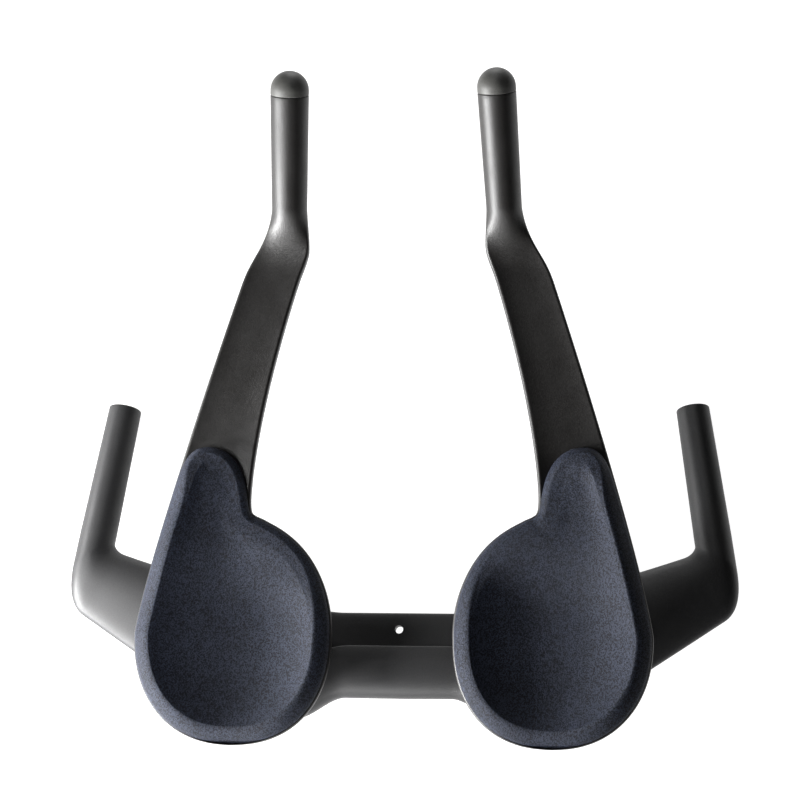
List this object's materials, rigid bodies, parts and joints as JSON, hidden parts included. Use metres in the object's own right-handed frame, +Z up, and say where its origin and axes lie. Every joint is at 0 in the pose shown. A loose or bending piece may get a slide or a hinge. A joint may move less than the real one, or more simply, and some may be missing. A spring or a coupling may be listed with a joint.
{
  "type": "time trial handlebar",
  "caption": "Aero base bar with swept wings and short open horns, two padded forearm trays on pylons and moulded forearm extensions with round capped grips.",
  "frame": {"origin": "middle of the flat stem seat under the base bar", "axes": "+X to the rider's right, +Y forward, +Z up and square to the stem seat"},
  "size_m": [0.4434, 0.4232, 0.1567],
  "materials": {
    "carbon_bar": "satin",
    "carbon_arm": "satin",
    "hook_fastener": "matt",
    "pad_fabric": "flocked",
    "cap_plastic": "satin",
    "steel": "satin",
    "insert_brass": "turned"
  },
  "bodies": {
    "root": {"base_bar": "carbon_bar", "arm_left": "carbon_arm", "arm_right": "carbon_arm", "hook_sheet_left": "hook_fastener", "hook_sheet_right": "hook_fastener", "pad_left": "pad_fabric", "pad_right": "pad_fabric", "tip_cap_left": "cap_plastic", "tip_cap_right": "cap_plastic", "arm_screws": "steel", "arm_washers": "steel", "pylon_inserts": "insert_brass", "stem_inserts": "insert_brass"}
  },
  "joints": []
}
